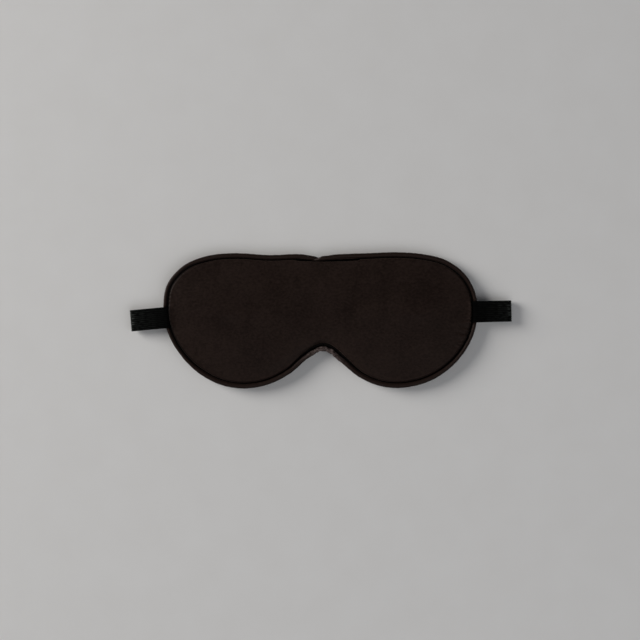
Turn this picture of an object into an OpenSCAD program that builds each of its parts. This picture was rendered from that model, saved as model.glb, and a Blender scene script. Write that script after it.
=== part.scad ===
// Padded sleep mask with a corded edge and a folded elastic head strap.
// The mask lies face up on its back. +X runs along its width, +Y towards the brow, +Z out of the face.

/* [Mask body] */
// Height of the seam plane above the surface
seam_z = 6; // [5.8:0.1:7]
// Rise of the front panel from the seam to the crown
crown = 4.4; // [3:0.1:6]
// Thickness of the satin panels
panel_t = 0.4; // [0.2:0.05:0.5]
// Thickness of the light-blocking core
core_t = 0.8; // [0.4:0.1:1.2]
// Gap between the edge of the outline and the panels
panel_inset = 3.2; // [3.1:0.1:4]

/* [Piping] */
// Radius over the piping's satin cover
piping_r = 1.5; // [1.3:0.1:1.5]
// Thickness of the piping's satin cover
cover_t = 0.3; // [0.2:0.05:0.4]
// Distance from the outline to the hidden edge of the piping's flange
flange_reach = 5.4; // [4.5:0.1:5.6]

/* [Strap] */
// Width of the elastic
strap_w = 13.2; // [10:0.1:13.2]
// Thickness of the elastic
strap_t = 0.8; // [0.5:0.1:0.8]
// Distance of the strap's centre line from the mask's centre
strap_y = 3.2; // [2:0.1:4]
// Angle of the strap's centre line to the mask's width
strap_tilt = 1.3; // [0:0.1:2]
// Distance from the mask's centre to the outer end of each fold
fold_reach = 122.2; // [115:0.1:125]
// Position of the slider along the strap
slider_s = 45; // [25:1:80]

/* [Hidden] */

satin = [0.12, 0.08, 0.065];
lining = [0.16, 0.11, 0.09];
elastic = [0.06, 0.07, 0.065];
wadding = [0.9, 0.9, 0.87];
foam = [0.1, 0.1, 0.11];
thread = [0.05, 0.05, 0.05];
plastic = [0.03, 0.03, 0.03];

// Outer edge of the piping, clockwise from the left side: brow, right side, cheeks and nose notch.
OUTLINE = [
    [-100.7, 8], [-98.5, 23], [-88, 35], [-73, 41.2], [-55, 43], [-33, 41.8], [-14, 42.4],
    [-1.7, 41], [11, 42.3], [30, 43], [48, 43.6], [65, 42.4], [80, 38.5], [92, 29.6], [98.8, 17],
    [100, 2], [96, -13], [86, -27.4], [72, -37.8], [56, -42.8], [40, -42.6], [25, -36.8],
    [12, -26.5], [2, -19.7], [-8, -24.2], [-20, -34.2], [-34, -41.2], [-50, -43.7],
    [-66, -40.7], [-81, -31.8], [-93, -18], [-99.7, -5]
];
STEPS = 2;

// Rings of the padded body: 0 is the panel's edge and 1 is the spine.
RINGS = [0, 0.06, 0.15, 0.3, 0.42, 0.6, 0.72, 0.8];
spine_y = 3.5;
spine_share = 0.6;
fit_gap = 0.03;

// Half the thickness of the flange that the seam holds between the two panels.
seam_half_t = 0.2;

// The back lies flat on the surface between two of the rings, and is hollow over the strap and its hardware.
back_flat_at = RINGS[3];
hollow_z = 5.25;
hollow_half_w = 10;
hollow_fade = 11;

// Strap levels, above the surface.
run_z = 1.5;
return_z = 4.35;
bar_r = 0.9;
bar_z = (run_z + return_z) / 2;
tab_z = 6.1;
fold_r = (tab_z - run_z) / 2;
fold_z = (tab_z + run_z) / 2;
fold_s = fold_reach - fold_r - strap_t / 2;
hinge_s = 98.6;
wrap_r = 2.6;
sewn_reach = 92;
ring_bar_s = 5;
turn_start_s = 16;
joint_gap = 0.15;
sewn_z = seam_z + 0.6 + fit_gap;
sewn_flat_to = hinge_s - 4;
turn_r = (return_z - run_z) / 2;
slider_turn_r = 0.95;
slider_tail = 7;
lap_from = ring_bar_s + 9;
lap_down = ring_bar_s + 12;
lap_to = ring_bar_s + 19;
lap_z = run_z + strap_t + fit_gap;
ARC_STEP = 15;

// The piping's round section is open towards its flange, at this angle either way.
PIPE_OPEN_AT = 157.5;

// Adjuster hardware and stitches.
ring_half_w = 8.6;
ring_corner_r = 1.8;
slider_bar_s = 5.2;
slider_rail_t = 1.6;
thread_r = 0.13;
tack_l = 2;
tack_pitch = 0.8;

function wrap(i, n) = (i % n + n) % n;
function at(points, i) = points[wrap(i, len(points))];
function smooth(u) = let (v = min(1, max(0, u))) v * v * (3 - 2 * v);
function mix(a, b, u) = a + (b - a) * u;

// Smooth curve through the control points, with tangents weighed by the spacing.
function tangent(points, i) =
    let (before = norm(at(points, i) - at(points, i - 1)))
    let (after = norm(at(points, i + 1) - at(points, i)))
    (at(points, i + 1) - at(points, i - 1)) / (before + after);
function curve_point(points, i, u) =
    let (a = at(points, i))
    let (b = at(points, i + 1))
    let (span = norm(b - a))
    let (u2 = u * u)
    let (u3 = u2 * u)
    (2 * u3 - 3 * u2 + 1) * a + (u3 - 2 * u2 + u) * span * tangent(points, i)
        + (3 * u2 - 2 * u3) * b + (u3 - u2) * span * tangent(points, i + 1);
EDGE = [for (i = [0 : len(OUTLINE) - 1]) for (k = [0 : STEPS - 1]) curve_point(OUTLINE, i, k / STEPS)];
COUNT = len(EDGE);

// Unit vector that points out of the outline, and the outline moved inwards.
function outward(i) =
    let (along = at(EDGE, i + 1) - at(EDGE, i - 1))
    [-along.y, along.x] / norm(along);
function inset(i, d) = at(EDGE, i) - outward(i) * d;

// Distance of a point from the strap's centre line.
function off_strap(p) = abs((p.y - strap_y) * cos(strap_tilt) - p.x * sin(strap_tilt));

// Heights of the outer faces of the padded body.
function front_z(u) = seam_z + seam_half_t + panel_t + crown * (1 - pow(1 - u / RINGS[7], 2.4));
function back_bulge(u) = pow(max(0, 1 - u / back_flat_at), 2);
function back_z(p, u) =
    let (hollow = hollow_z * (1 - smooth((off_strap(p) - hollow_half_w) / hollow_fade)))
    max((seam_z - seam_half_t - panel_t) * back_bulge(u), hollow);

// Levels between the layers, from 0 at the back to 5 at the front.
function level_z(level, p, u) =
    let (front = front_z(u))
    let (back = back_z(p, u))
    let (middle = (front + back) / 2)
    [back, back + panel_t, middle - core_t / 2, middle + core_t / 2, front - panel_t, front][level];
function body_point(level, i, ring) =
    let (u = RINGS[ring])
    let (rim = inset(i, panel_inset))
    let (p = mix(rim, [rim.x * spine_share, spine_y], u))
    [p.x, p.y, level_z(level, p, u)];

// One closed layer of the body between two neighbouring levels.
module layer(level, first) {
    last = len(RINGS) - 1;
    rows = last - first + 1;
    face = rows * COUNT;
    skin = [for (top = [0, 1]) for (r = [first : last]) for (i = [0 : COUNT - 1])
        body_point(level + top, i, r)];
    centres = [for (top = [0, 1]) [0, spine_y, body_point(level + top, 0, last).z]];
    function id(top, r, i) = top * face + r * COUNT + wrap(i, COUNT);
    upper = [for (r = [0 : rows - 2]) for (i = [0 : COUNT - 1])
        each [[id(1, r, i), id(1, r + 1, i), id(1, r, i + 1)],
              [id(1, r, i + 1), id(1, r + 1, i), id(1, r + 1, i + 1)]]];
    lower = [for (r = [0 : rows - 2]) for (i = [0 : COUNT - 1])
        each [[id(0, r, i), id(0, r, i + 1), id(0, r + 1, i)],
              [id(0, r, i + 1), id(0, r + 1, i + 1), id(0, r + 1, i)]]];
    wall = [for (i = [0 : COUNT - 1])
        each [[id(0, 0, i), id(1, 0, i), id(0, 0, i + 1)],
              [id(0, 0, i + 1), id(1, 0, i), id(1, 0, i + 1)]]];
    caps = [for (i = [0 : COUNT - 1])
        each [[id(1, rows - 1, i), 2 * face + 1, id(1, rows - 1, i + 1)],
              [id(0, rows - 1, i), id(0, rows - 1, i + 1), 2 * face]]];
    polyhedron(points = concat(skin, centres), faces = concat(upper, lower, wall, caps));
}

// A section of [distance out of the outline, height] carried round the closed outline.
module swept_round(section, d, z) {
    size = len(section);
    points = [for (i = [0 : COUNT - 1]) for (q = section)
        let (p = inset(i, d) + outward(i) * q.x) [p.x, p.y, z + q.y]];
    function id(i, k) = wrap(i, COUNT) * size + wrap(k, size);
    faces = [for (i = [0 : COUNT - 1]) for (k = [0 : size - 1])
        each [[id(i, k), id(i, k + 1), id(i + 1, k)],
              [id(i, k + 1), id(i + 1, k + 1), id(i + 1, k)]]];
    polyhedron(points = points, faces = faces);
}

function arc(r, from, to, step) =
    let (n = ceil(abs(to - from) / step))
    [for (k = [0 : n]) let (a = from + (to - from) * k / n) [r * cos(a), r * sin(a)]];
function reversed(list) = [for (i = [len(list) - 1 : -1 : 0]) list[i]];
function moved(list, v) = [for (p = list) p + v];

// Everything on the strap is drawn along its own centre line, towards +X or mirrored.
module on_strap(side) {
    translate([0, strap_y, 0])
        rotate([0, 0, strap_tilt])
            mirror([side < 0 ? 1 : 0, 0, 0]) children();
}

// A band of elastic whose centre line runs through the given [s, z] points.
function band_normal(path, i) =
    let (a = path[max(0, i - 1)])
    let (b = path[min(len(path) - 1, i + 1)])
    let (d = (b - a) / norm(b - a))
    [-d.y, d.x];
function band_outline(path, t) = concat(
    [for (i = [0 : len(path) - 1]) path[i] + band_normal(path, i) * t / 2],
    reversed([for (i = [0 : len(path) - 1]) path[i] - band_normal(path, i) * t / 2]));
module band(path) {
    rotate([90, 0, 0])
        linear_extrude(height = strap_w, center = true)
            polygon(band_outline(path, strap_t));
}

// Centre lines of the strap's pieces.
END_PATH = concat(
    [[sewn_reach, sewn_z], [sewn_flat_to, sewn_z]],
    moved(arc(wrap_r, 165, 90, ARC_STEP), [hinge_s, seam_z]));
TAB_PATH = [for (k = [0 : 8]) let (u = k / 8)
    [mix(hinge_s + joint_gap, fold_s - joint_gap, u), mix(seam_z + wrap_r, tab_z, smooth(u))]];
FOLD_PATH = moved(arc(fold_r, 90, -90, ARC_STEP), [fold_s, fold_z]);
RING_TURN = moved(arc(turn_r, -90, -270, ARC_STEP), [ring_bar_s, bar_z]);
SLIDER_TURN = moved(arc(slider_turn_r, 90, -90, ARC_STEP), [slider_s, return_z - slider_turn_r]);
RETURN_PATH = concat(
    [[turn_start_s - joint_gap, run_z]],
    RING_TURN,
    [[slider_s - 1, return_z]],
    SLIDER_TURN,
    [[slider_s - slider_tail, return_z - 2 * slider_turn_r]]);
LOOP_PATH = concat(
    [[fold_s - joint_gap, run_z]],
    RING_TURN,
    [[lap_from, return_z], [lap_down, lap_z], [lap_to, lap_z]]);

// Room for the elastic where it leaves the seam between the front panel and the piping.
module strap_mouth(side) {
    length = 5;
    height = 3;
    clear = 0.2;
    on_strap(side)
        translate([hinge_s - length, -strap_w / 2 - clear, seam_z + seam_half_t / 2])
            cube([length, strap_w + 2 * clear, height]);
}

module front_panel() {
    color(satin)
        difference() {
            layer(4, 0);
            strap_mouth(1);
            strap_mouth(-1);
        }
}

module front_wadding() {
    color(wadding) layer(3, 2);
}

module blackout_core() {
    color(foam) layer(2, 2);
}

module back_wadding() {
    color(wadding) layer(1, 2);
}

module back_panel() {
    color(lining) layer(0, 0);
}

// Bias strip folded round the cord, with both its edges in the seam.
module piping_cover() {
    ply = 0.17;
    slit = 0.02;
    reach = piping_r - flange_reach;
    inner_r = piping_r - cover_t;
    outside = arc(piping_r, PIPE_OPEN_AT, -PIPE_OPEN_AT, 45);
    inside = arc(inner_r, -PIPE_OPEN_AT, PIPE_OPEN_AT, 45);
    section = concat(
        [[reach, slit + ply], [-piping_r, slit + ply]], outside,
        [[-piping_r, -slit - ply], [reach, -slit - ply], [reach, -slit], [-inner_r, -slit]], inside,
        [[-inner_r, slit], [reach, slit]]);
    color(satin) swept_round(section, piping_r, seam_z);
}

module piping_cord() {
    section = arc(piping_r - cover_t - fit_gap, PIPE_OPEN_AT, -PIPE_OPEN_AT, 45);
    color(wadding) swept_round(section, piping_r, seam_z);
}

// Thread of the seam round the edge, on the piping's flange.
module perimeter_stitching() {
    seam_in = 1.5;
    laid_r = 0.15;
    section = arc(laid_r, 180, -90, 90);
    color(thread) swept_round(section, panel_inset + seam_in, seam_z + seam_half_t + laid_r + 0.01);
}

// Hand stitches that close the turning gap in the brow seam.
module closing_stitching() {
    gap_from = -18;
    gap_to = 24;
    per_span = 5;
    stitch_l = 1;
    stitch_in = 2.6;
    stitch_z = 0.75;
    color(thread)
        for (i = [6 : 9])
            for (k = [0 : per_span - 1]) {
                p = curve_point(OUTLINE, i, k / per_span);
                along = curve_point(OUTLINE, i, (k + 0.5) / per_span) - p;
                if (p.x > gap_from && p.x < gap_to)
                    translate([p.x, p.y, seam_z + stitch_z])
                        rotate([0, 0, atan2(along.y, along.x)])
                            translate([0, -stitch_in, 0])
                                rotate([90, 0, 0]) cylinder(r = thread_r, h = stitch_l, $fn = 16);
            }
}

module strap_end(side) {
    color(elastic) on_strap(side) band(END_PATH);
}

// A row of stitches across the elastic, lying on its upper face.
module stitch_row(s, z, length, pitch) {
    reach = strap_w / 2 - 1;
    color(thread)
        for (y = [-reach : pitch : reach])
            translate([s, y, z + thread_r])
                rotate([0, 90, 0]) cylinder(r = thread_r, h = length, center = true, $fn = 16);
}

module anchor_stitching(side) {
    length = 1.6;
    on_strap(side) stitch_row(sewn_reach + length, sewn_z + strap_t / 2, length, 1);
}

module strap_tab(side) {
    color(elastic) on_strap(side) band(TAB_PATH);
}

module strap_fold(side) {
    color(elastic) on_strap(side) band(FOLD_PATH);
}

module strap_run_left() {
    color(elastic) on_strap(-1) band(LOOP_PATH);
}

module strap_run_right() {
    color(elastic) on_strap(1) band([[turn_start_s, run_z], [fold_s - joint_gap, run_z]]);
}

module strap_return() {
    color(elastic) on_strap(1) band(RETURN_PATH);
}

module ring_loop_stitching() {
    on_strap(-1) stitch_row((lap_down + lap_to) / 2 - 0.5, lap_z + strap_t / 2, tack_l, tack_pitch);
}

module slider_loop_stitching() {
    on_strap(1) stitch_row(slider_s - slider_tail + 2, return_z + strap_t / 2, tack_l, tack_pitch);
}

// Rectangular ring with round bars and corners.
module ring() {
    straight_y = ring_half_w - ring_corner_r;
    straight_s = ring_bar_s - ring_corner_r;
    color(plastic) on_strap(1) translate([0, 0, bar_z]) {
        for (side = [-1, 1]) {
            translate([side * ring_bar_s, 0, 0])
                rotate([90, 0, 0]) cylinder(r = bar_r, h = 2 * straight_y, center = true, $fn = 48);
            translate([0, side * ring_half_w, 0])
                rotate([0, 90, 0]) cylinder(r = bar_r, h = 2 * straight_s, center = true, $fn = 48);
        }
        for (turn = [0 : 3])
            translate([(turn == 0 || turn == 3 ? 1 : -1) * straight_s, (turn < 2 ? 1 : -1) * straight_y, 0])
                rotate([0, 0, 90 * turn])
                    rotate_extrude(angle = 90, $fn = 48)
                        translate([ring_corner_r, 0]) circle(r = bar_r, $fn = 48);
    }
}

// Three-bar slider: the outer bars pass under the elastic and the middle bar over it.
module slider() {
    outer_r = 0.5;
    middle_r = 0.52;
    foot_r = 0.6;
    shoulder_r = 0.9;
    shoulder_s = 2;
    shoulder_z = 3.2;
    rail_y = strap_w / 2 + 0.4;
    bar_l = 2 * rail_y + 0.2;
    color(plastic) on_strap(1) translate([slider_s, 0, 0]) {
        for (side = [-1, 1]) {
            translate([side * slider_bar_s, 0, outer_r])
                rotate([90, 0, 0]) cylinder(r = outer_r, h = bar_l, center = true, $fn = 32);
            translate([0, side * (rail_y + slider_rail_t / 2), 0])
                rotate([90, 0, 0])
                    linear_extrude(height = slider_rail_t, center = true)
                        hull()
                            for (end = [-1, 1]) {
                                translate([end * (slider_bar_s - 0.1), foot_r]) circle(r = foot_r, $fn = 24);
                                translate([end * shoulder_s, shoulder_z]) circle(r = shoulder_r, $fn = 24);
                            }
        }
        translate([0, 0, return_z - slider_turn_r])
            rotate([90, 0, 0]) cylinder(r = middle_r, h = bar_l, center = true, $fn = 32);
    }
}

front_panel();
front_wadding();
blackout_core();
back_wadding();
back_panel();
piping_cover();
piping_cord();
perimeter_stitching();
closing_stitching();
strap_end(-1);  // strap_end_left
strap_end(1);  // strap_end_right
anchor_stitching(-1);  // anchor_stitching_left
anchor_stitching(1);  // anchor_stitching_right
strap_tab(-1);  // strap_tab_left
strap_tab(1);  // strap_tab_right
strap_fold(-1);  // strap_fold_left
strap_fold(1);  // strap_fold_right
strap_run_left();
strap_run_right();
strap_return();
ring();
slider();
ring_loop_stitching();
slider_loop_stitching();
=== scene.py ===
"""Sleep eye mask: its soft pieces, finishes, light and camera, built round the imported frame.

Lengths are in millimetres until mesh_object() turns them into metres.
"""

import math

import bpy
import numpy as np
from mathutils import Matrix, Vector


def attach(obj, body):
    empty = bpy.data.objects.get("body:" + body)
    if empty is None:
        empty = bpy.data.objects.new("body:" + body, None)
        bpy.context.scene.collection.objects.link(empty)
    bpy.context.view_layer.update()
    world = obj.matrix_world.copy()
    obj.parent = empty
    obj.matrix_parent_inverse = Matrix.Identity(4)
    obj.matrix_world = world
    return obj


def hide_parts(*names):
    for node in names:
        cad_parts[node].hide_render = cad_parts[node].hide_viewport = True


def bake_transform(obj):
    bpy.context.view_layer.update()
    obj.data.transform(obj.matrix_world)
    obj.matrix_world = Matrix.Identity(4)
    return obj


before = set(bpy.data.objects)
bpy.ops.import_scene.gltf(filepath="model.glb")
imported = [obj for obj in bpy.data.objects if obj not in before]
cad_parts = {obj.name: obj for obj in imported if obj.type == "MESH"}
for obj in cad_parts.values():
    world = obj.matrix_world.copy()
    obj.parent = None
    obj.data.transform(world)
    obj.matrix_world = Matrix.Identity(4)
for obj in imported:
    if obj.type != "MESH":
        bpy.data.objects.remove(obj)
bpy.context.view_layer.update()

MM = 0.001
UV_SCALE = 0.01  # UVs run from 0 to 1 over 100 mm

# --- Driving dimensions, the same as the frame's ---

# Outer edge of the piping, clockwise from the left side: brow, right side, cheeks and nose notch.
OUTLINE = np.array([
    (-101, 8), (-98.5, 23), (-88, 35), (-73, 41.2), (-55, 43), (-33, 41.8), (-14, 42.4),
    (-1.7, 41), (11, 42.3), (30, 43), (48, 43.6), (65, 42.4), (80, 38.5), (92, 29.6), (98.8, 17),
    (100, 2), (96, -13), (86, -27.4), (72, -37.8), (56, -42.8), (40, -42.6), (25, -36.8),
    (12, -26.5), (2, -19.7), (-8, -24.2), (-20, -34.2), (-34, -41.2), (-50, -43.7),
    (-66, -40.7), (-81, -31.8), (-93, -18), (-99.5, -4),
], float)
TOP_CENTRE = 7  # the control point where the piping's ends meet

SEAM_Z = 6.0
GROOVE_Z = 5.3  # bottom of the groove between the piping and the panel
CROWN = 2.9
FLAT_FROM = 0.8  # share of the way to the spine where the crown is level
SHOULDER = 2.2  # how high the panel rolls up out of the groove
SHOULDER_R = 1.5
SPINE_Y = 3.5
SPINE_SHARE = 0.6  # the spine's length as a share of the mask's
PANEL_INSET = 3.7  # the panel's seam, inside the outline
HOLLOW_Z = 5.35  # the back's height over the strap
HOLLOW_HALF_W = 10.0
HOLLOW_FADE = 11.0
BACK_FLAT_AT = 0.3  # share of the way to the spine where the back lies on the surface
BACK_LOW_Z = 0.03

PIPING_R = 1.5

# The strap's own line is tilted a little; S is a distance along it from the middle of the mask.
STRAP_W = 13.6
STRAP_T = 0.8
STRAP_Y = 3.2
STRAP_TILT = math.radians(1.3)
HINGE_S = 98.6
WRAP_R = 2.1  # the elastic's bend over the piping
SEWN_REACH = 92.0
RUN_Z = 1.5
TAB_Z = 6.1
RETURN_Z = 4.35
FOLD_R = (TAB_Z - RUN_Z) / 2
FOLD_Z = (TAB_Z + RUN_Z) / 2
FOLD_S = 122.2 - FOLD_R - STRAP_T / 2
BAR_Z = (RUN_Z + RETURN_Z) / 2
RING_BAR_S = 5.0
SLIDER_S = 45.0


def smooth(u):
    v = np.clip(u, 0.0, 1.0)
    return v * v * (3 - 2 * v)


def mix(a, b, u):
    return a + (b - a) * u


# --- The outline as a smooth closed curve, measured from the middle of the brow ---

def dense_outline(steps=60):
    """A smooth curve through the outline's control points, with so many steps between two of them."""
    pts = np.roll(OUTLINE, -TOP_CENTRE, axis=0)
    n = len(pts)
    before = np.linalg.norm(pts - np.roll(pts, 1, 0), axis=1)
    after = np.linalg.norm(np.roll(pts, -1, 0) - pts, axis=1)
    tangents = (np.roll(pts, -1, 0) - np.roll(pts, 1, 0)) / (before + after)[:, None]
    u = np.arange(steps)[:, None] / steps
    out = []
    for i in range(n):
        a, b = pts[i], pts[(i + 1) % n]
        ma, mb = tangents[i] * after[i], tangents[(i + 1) % n] * after[i]
        out.append((2 * u**3 - 3 * u**2 + 1) * a + (u**3 - 2 * u**2 + u) * ma
                   + (3 * u**2 - 2 * u**3) * b + (u**3 - u**2) * mb)
    return np.vstack(out)


EDGE = dense_outline()
_step = np.linalg.norm(np.roll(EDGE, -1, 0) - EDGE, axis=1)
EDGE_S = np.concatenate([[0], np.cumsum(_step)])
AROUND = EDGE_S[-1]
_along = np.roll(EDGE, -1, 0) - np.roll(EDGE, 1, 0)
EDGE_OUT = np.stack([-_along[:, 1], _along[:, 0]], 1) / np.linalg.norm(_along, axis=1)[:, None]


def round_the_edge(values, s):
    """Values given at the outline's points, read at the distances s along it."""
    closed = np.vstack([values, values[:1]])
    s = np.mod(s, AROUND)
    return np.stack([np.interp(s, EDGE_S, closed[:, k]) for k in range(values.shape[1])], -1)


def edge_point(s, inset=0.0):
    """The outline's (x, y) at the distances s, moved inwards by inset."""
    return round_the_edge(EDGE, s) - unit(round_the_edge(EDGE_OUT, s)) * np.asarray(inset)[..., None]


def edge_noise(seed, shortest, longest, count):
    """Waves round the outline, as (wave number, phase, weight), longer waves being the stronger."""
    rng = np.random.default_rng(seed)
    turns = np.round(AROUND / rng.uniform(shortest, longest, count))
    phases = rng.uniform(0, 2 * math.pi, count)
    weights = rng.uniform(0.4, 1.0, count)
    return turns, phases, weights / np.sqrt((weights**2).sum() / 2)


def read_noise(waves, s):
    turns, phases, weights = waves
    angle = 2 * math.pi * np.multiply.outer(np.asarray(s) / AROUND, turns) + phases
    return (np.sin(angle) * weights).sum(-1)


# --- Meshes ---

def linked(name, data):
    obj = bpy.data.objects.new(name, data)
    bpy.context.scene.collection.objects.link(obj)
    return obj


def mesh_object(name, points, faces, uv=None, painted_light=None):
    """A smooth-shaded mesh from points in millimetres; uv gives each point's place on the cloth."""
    mesh = bpy.data.meshes.new(name)
    mesh.from_pydata((np.asarray(points, float) * MM).tolist(), [], [list(map(int, f)) for f in faces])
    mesh.validate()
    mesh.polygons.foreach_set("use_smooth", [True] * len(mesh.polygons))
    if uv is not None:
        layer = mesh.uv_layers.new(name="cloth")
        loops = np.zeros(len(mesh.loops), int)
        mesh.loops.foreach_get("vertex_index", loops)
        layer.data.foreach_set("uv", (np.asarray(uv)[loops] * UV_SCALE).ravel())
    # This point attribute is painted light: above 0 a painted highlight or sheen, below 0 painted shade.
    if painted_light is not None:
        values = mesh.attributes.new("painted_light", "FLOAT", "POINT").data
        values.foreach_set("value", np.asarray(painted_light, np.float32))
    return linked(name, mesh)


def flat_uv(along, across):
    """UVs of a grid of points, from distances along it and across it that broadcast together."""
    return np.stack(np.broadcast_arrays(along, across), -1).reshape(-1, 2)


def with_height(plan, z):
    """Points from (x, y) pairs and their heights."""
    return np.concatenate([plan, np.asarray(z)[..., None]], -1)


def unit(rows):
    return rows / np.linalg.norm(rows, axis=-1, keepdims=True)


def ring_angles(sides):
    return np.arange(sides) * 2 * math.pi / sides


def grid_faces(rows, cols, close_cols=False, close_rows=False, flip=False):
    """Quads over a grid of points stored row by row."""
    faces = []
    for r in range(rows if close_rows else rows - 1):
        for c in range(cols if close_cols else cols - 1):
            a = r * cols + c
            b = r * cols + (c + 1) % cols
            d = ((r + 1) % rows) * cols + c
            e = ((r + 1) % rows) * cols + (c + 1) % cols
            faces.append((a, d, e, b) if flip else (a, b, e, d))
    return faces


def tube_faces(rows, sides):
    """The wall of a tube and its two ends."""
    first = list(range(sides))
    last = list(range((rows - 1) * sides, rows * sides))
    return grid_faces(rows, sides, close_cols=True) + [first[::-1], last]


def join(parts):
    """The points, faces and UVs of one mesh from its parts, which are given by those three each."""
    starts = np.cumsum([0] + [len(points) for points, _, _ in parts])
    faces = [[start + v for v in f] for (_, part, _), start in zip(parts, starts) for f in part]
    return np.concatenate([p for p, _, _ in parts]), faces, np.concatenate([uv for _, _, uv in parts])


def resample(grid, at, closed):
    """Catmull-Rom values of grid (rows first) at the fractional row numbers in at."""
    n = len(grid)
    i = np.floor(at).astype(int)
    if not closed:
        i = np.minimum(i, n - 2)
    t = (at - i).reshape((-1,) + (1,) * (grid.ndim - 1))
    pick = (lambda k: grid[np.mod(k, n)]) if closed else (lambda k: grid[np.clip(k, 0, n - 1)])
    p0, p1, p2, p3 = pick(i - 1), pick(i), pick(i + 1), pick(i + 2)
    return 0.5 * (2 * p1 + (p2 - p0) * t + (2 * p0 - 5 * p1 + 4 * p2 - p3) * t**2
                  + (3 * p1 - p0 - 3 * p2 + p3) * t**3)


# --- The padded body: columns run round the edge, rows run from the edge to the spine ---

S_RIGHT = EDGE_S[int(np.argmax(EDGE[:, 0]))]
S_LEFT = EDGE_S[int(np.argmin(EDGE[:, 0]))]


def column_distances(half):
    """Places round the edge: the first half runs over the brow from left to right, then back."""
    over = np.linspace(S_LEFT - AROUND, S_RIGHT, half + 1)
    under = np.linspace(S_RIGHT, S_LEFT, half + 1)
    return np.concatenate([over[:-1], under[:-1]])


def spine_points(half, rim):
    """The point of the spine that each column runs to; columns of both halves share theirs."""
    mirrored = rim[(2 * half - np.arange(2 * half)) % (2 * half)]
    x = SPINE_SHARE * (rim[:, 0] + mirrored[:, 0]) / 2
    return np.stack([x, np.full_like(x, SPINE_Y)], 1)


def off_strap(x, y):
    """How far a point is to either side of the strap's line."""
    return np.abs((y - STRAP_Y) * math.cos(STRAP_TILT) - x * math.sin(STRAP_TILT))


def front_height(u):
    """The front panel's crown, without its shoulder."""
    return GROOVE_Z + 0.3 + CROWN * (1 - np.maximum(0, 1 - u / FLAT_FROM) ** 2.4)


def back_height(u, x, y):
    """The back panel: bulging at its edge, flat on the surface, and hollow over the strap."""
    hollow = HOLLOW_Z * (1 - smooth((off_strap(x, y) - HOLLOW_HALF_W) / HOLLOW_FADE))
    bulge = (GROOVE_Z - 0.45) * np.maximum(0, 1 - u / BACK_FLAT_AT) ** 2
    return np.maximum(bulge, hollow)


def clear_of_strap(x, y, z, edge=None):
    """Lifts the back off the strap behind it and off the surface below."""
    lowest = np.where(off_strap(x, y) < HOLLOW_HALF_W, HOLLOW_Z - 0.1, BACK_LOW_Z)
    if edge is not None:
        lowest = np.where(edge, BACK_LOW_Z, lowest)
    return np.maximum(z, lowest)


def shoulder(reach):
    """The panel's rolled edge, by distance from the seam."""
    inner = np.clip(1 - reach / SHOULDER_R, 0, 1)
    return SHOULDER * np.sqrt(np.maximum(0, 1 - inner**2.2))


def body_faces(rows, half, flip):
    """Quads of a body surface, with its last row welded along the spine."""
    cols = 2 * half
    weld = np.arange(rows * cols)
    last = (rows - 1) * cols
    for c in range(half + 1, cols):
        weld[last + c] = last + cols - c
    faces = []
    for f in grid_faces(rows, cols, close_cols=True, flip=flip):
        g = [int(weld[v]) for v in f]
        g = [v for k, v in enumerate(g) if v != g[k - 1]]
        if len(g) > 2:
            faces.append(g)
    return faces


def drop_loose(points, faces, *extra):
    """The points that faces use, renumbered, with the same rows of the extra arrays."""
    used = np.unique(np.concatenate([np.asarray(f) for f in faces]))
    number = np.full(len(points), -1)
    number[used] = np.arange(len(used))
    faces = [[int(number[v]) for v in f] for f in faces]
    return (points[used], faces) + tuple(e[used] for e in extra)


SIM_HALF = 150  # columns along the brow, and as many along the cheeks
SIM_ROWS = np.array([
    0, 0.012, 0.03, 0.055, 0.085, 0.12, 0.16, 0.21, 0.27, 0.34, 0.42, 0.51, 0.61, 0.72, 0.85, 1.0,
])
SIM_FRAMES = 20
SPARE = -0.002  # extra length that the cloth is cut with: the panel is drawn slightly taut
PAD_FROM = 5  # the row of the body at which the padding starts


def panel_start(side):
    """The panel before it is inflated: side 1 is the front and -1 the back."""
    s = column_distances(SIM_HALF)
    rim = edge_point(s, np.full(len(s), PANEL_INSET))
    plan = rim + (spine_points(SIM_HALF, rim) - rim) * SIM_ROWS[:, None, None]
    u = np.repeat(SIM_ROWS[:, None], len(s), 1)
    z = front_height(u) if side > 0 else back_height(u, plan[..., 0], plan[..., 1])
    return with_height(plan, z)


def inflate(grid, side, pressure, most):
    """Lets the panel's cloth swell over its wadding with its seam held, and caps how far it moves."""
    rows, cols = grid.shape[:2]
    flat = grid.reshape(-1, 3)
    faces = body_faces(rows, cols // 2, flip=side > 0)
    used = np.unique(np.concatenate([np.asarray(f) for f in faces]))
    points, faces = drop_loose(flat, faces)
    obj = mesh_object("swelling", points, faces)
    pin = obj.vertex_groups.new(name="seam")
    pin.add(list(range(cols)), 1.0, "REPLACE")
    cloth = obj.modifiers.new("cloth", "CLOTH")
    settings = cloth.settings
    settings.quality = 6
    settings.mass = 0.12
    settings.tension_stiffness = 12
    settings.compression_stiffness = 6
    settings.shear_stiffness = 3
    settings.bending_stiffness = 0.02
    settings.use_pressure = True
    settings.uniform_pressure_force = pressure
    settings.shrink_min = -SPARE
    settings.vertex_group_mass = "seam"
    settings.effector_weights.gravity = 0
    cloth.collision_settings.use_collision = False
    scene = bpy.context.scene
    for f in range(1, SIM_FRAMES + 1):
        scene.frame_set(f)
    shown = obj.evaluated_get(bpy.context.evaluated_depsgraph_get())
    moved = np.zeros(len(points) * 3)
    shown.data.vertices.foreach_get("co", moved)
    scene.frame_set(1)
    bpy.data.meshes.remove(obj.data)
    step = moved.reshape(-1, 3) / MM - points
    size = np.linalg.norm(step, axis=1, keepdims=True)
    step *= np.tanh(size / most) * most / np.maximum(size, 1e-6)
    result = flat.copy()
    result[used] += step
    result = result.reshape(rows, cols, 3)
    below = np.arange(cols // 2 + 1, cols)
    result[-1, below] = result[-1, cols - below]
    return result


FINE_HALF = 480
FINE_ROWS = 56
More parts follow.
